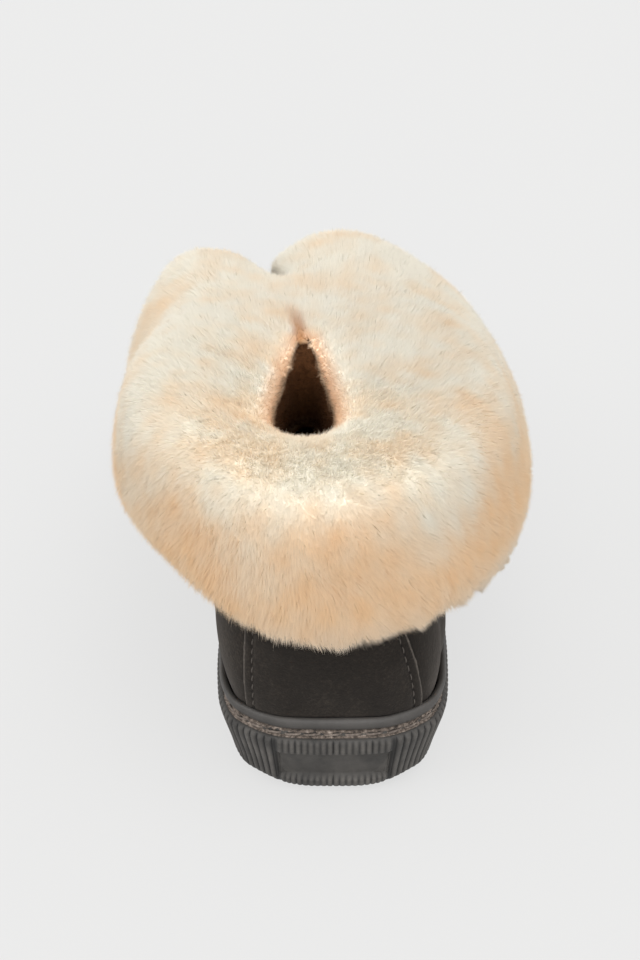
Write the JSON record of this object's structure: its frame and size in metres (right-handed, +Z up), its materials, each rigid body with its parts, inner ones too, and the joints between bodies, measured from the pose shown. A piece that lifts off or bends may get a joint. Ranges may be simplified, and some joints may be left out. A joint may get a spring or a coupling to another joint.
{
  "type": "bootie slipper",
  "caption": "Suede bootie slipper with a deep folded fleece cuff, slit at the front, on a ribbed rubber cup sole.",
  "frame": {"origin": "on the ground under the middle of the heel, 30 mm in front of the sole's back edge, on the flat face of the heel's underside", "axes": "+Z up, +Y from heel to toe, +X towards the outer side of the right foot"},
  "size_m": [0.1401, 0.2768, 0.121],
  "materials": {
    "sole_rubber": "matte",
    "rand_rubber": "satin",
    "suede": "brushed nap",
    "fleece": "deep wool pile",
    "footbed": "short pile"
  },
  "bodies": {
    "root": {"outsole": "sole_rubber", "rand": "rand_rubber", "upper": "suede", "heel_panel": "suede", "cuff": "fleece", "insole": "footbed"}
  },
  "joints": []
}
